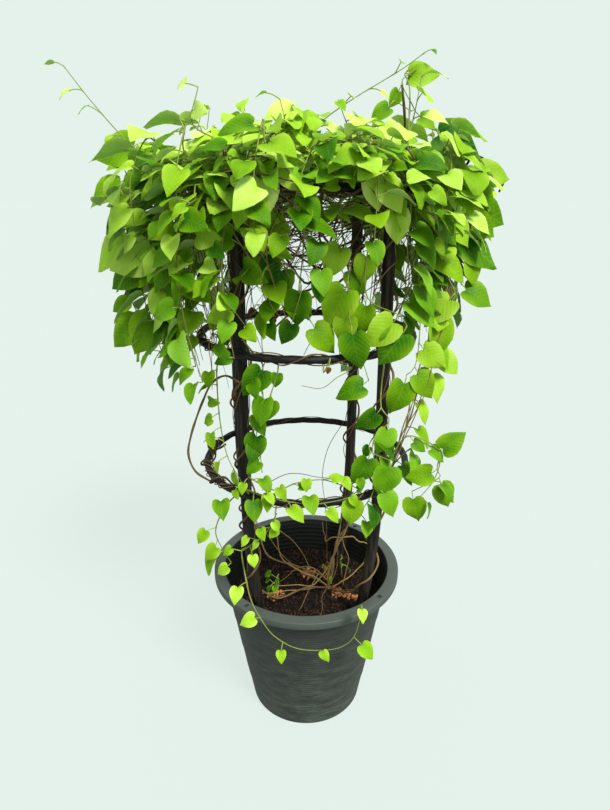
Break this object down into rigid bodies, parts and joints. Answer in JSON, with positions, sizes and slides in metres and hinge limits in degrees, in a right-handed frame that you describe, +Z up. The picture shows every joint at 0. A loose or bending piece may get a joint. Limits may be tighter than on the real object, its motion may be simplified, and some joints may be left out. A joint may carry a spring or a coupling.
{
  "type": "potted climbing plant on a hoop frame",
  "caption": "Twining vine with heart-shaped leaves over a frame of upright posts and level hoops, rooted in the soil of a ribbed nursery pot.",
  "frame": {"origin": "centre of the pot's underside, on the surface that the pot stands on", "axes": "+Z up along the pot's axis, the plant is seen from -Y in the picture, +X is to the right there"},
  "size_m": [0.5648, 0.4969, 0.9833],
  "materials": {
    "pot": "matt moulded black plastic, a little dusty",
    "soil": "dark potting mix with bark and coco chips",
    "post": "dark matt sleeve with scuffs",
    "hoop": "black matt pipe",
    "wood": "thin brown bark with lengthwise grain",
    "leaf_light": "young yellow-green leaf, semi-matt, with sunken veins",
    "leaf_mid": "fresh green leaf, semi-matt, with sunken veins",
    "leaf_deep": "deep green leaf, semi-matt, with sunken veins"
  },
  "bodies": {
    "root": {"pot": "pot", "soil": "soil", "post_front_left": "post", "post_front_right": "post", "post_back_right": "post", "post_back_left": "post", "hoop_low": "hoop", "hoop_middle": "hoop", "hoop_top": "hoop", "woody_stems": "wood", "seedling_left": "leaf_mid", "seedling_right": "leaf_mid", "shoot_back_right": "leaf_mid", "shoot_left_foot": "leaf_mid", "shoot_left_inner": "leaf_deep", "shoot_low_hoop": "leaf_mid", "shoot_pot_front": "leaf_light", "shoot_right_arch": "leaf_deep", "shoot_right_bundle": "leaf_mid", "shoot_right_foot": "leaf_deep", "shoot_right_top": "leaf_light", "shoot_top": "leaf_light", "shoot_upper_left": "leaf_light", "spray_middle_1": "leaf_light", "spray_middle_2": "leaf_light", "spray_middle_3": "leaf_light", "spray_middle_4": "leaf_light", "spray_over_1": "leaf_mid", "spray_over_10": "leaf_mid", "spray_over_11": "leaf_mid", "spray_over_12": "leaf_mid", "spray_over_13": "leaf_mid", "spray_over_2": "leaf_mid", "spray_over_3": "leaf_mid", "spray_over_4": "leaf_mid", "spray_over_5": "leaf_mid", "spray_over_6": "leaf_mid", "spray_over_7": "leaf_mid", "spray_over_8": "leaf_mid", "spray_over_9": "leaf_mid", "spray_rim_1": "leaf_light", "spray_rim_2": "leaf_light", "spray_rim_3": "leaf_light", "spray_rim_4": "leaf_light", "spray_rim_5": "leaf_light", "spray_rim_6": "leaf_light", "spray_rim_7": "leaf_light", "spray_rim_8": "leaf_light", "spray_rim_9": "leaf_light", "spray_skirt_1": "leaf_deep", "spray_skirt_10": "leaf_deep", "spray_skirt_11": "leaf_deep", "spray_skirt_2": "leaf_deep", "spray_skirt_3": "leaf_deep", "spray_skirt_4": "leaf_deep", "spray_skirt_5": "leaf_deep", "spray_skirt_6": "leaf_deep", "spray_skirt_7": "leaf_deep", "spray_skirt_8": "leaf_deep", "spray_skirt_9": "leaf_deep"}
  },
  "joints": []
}
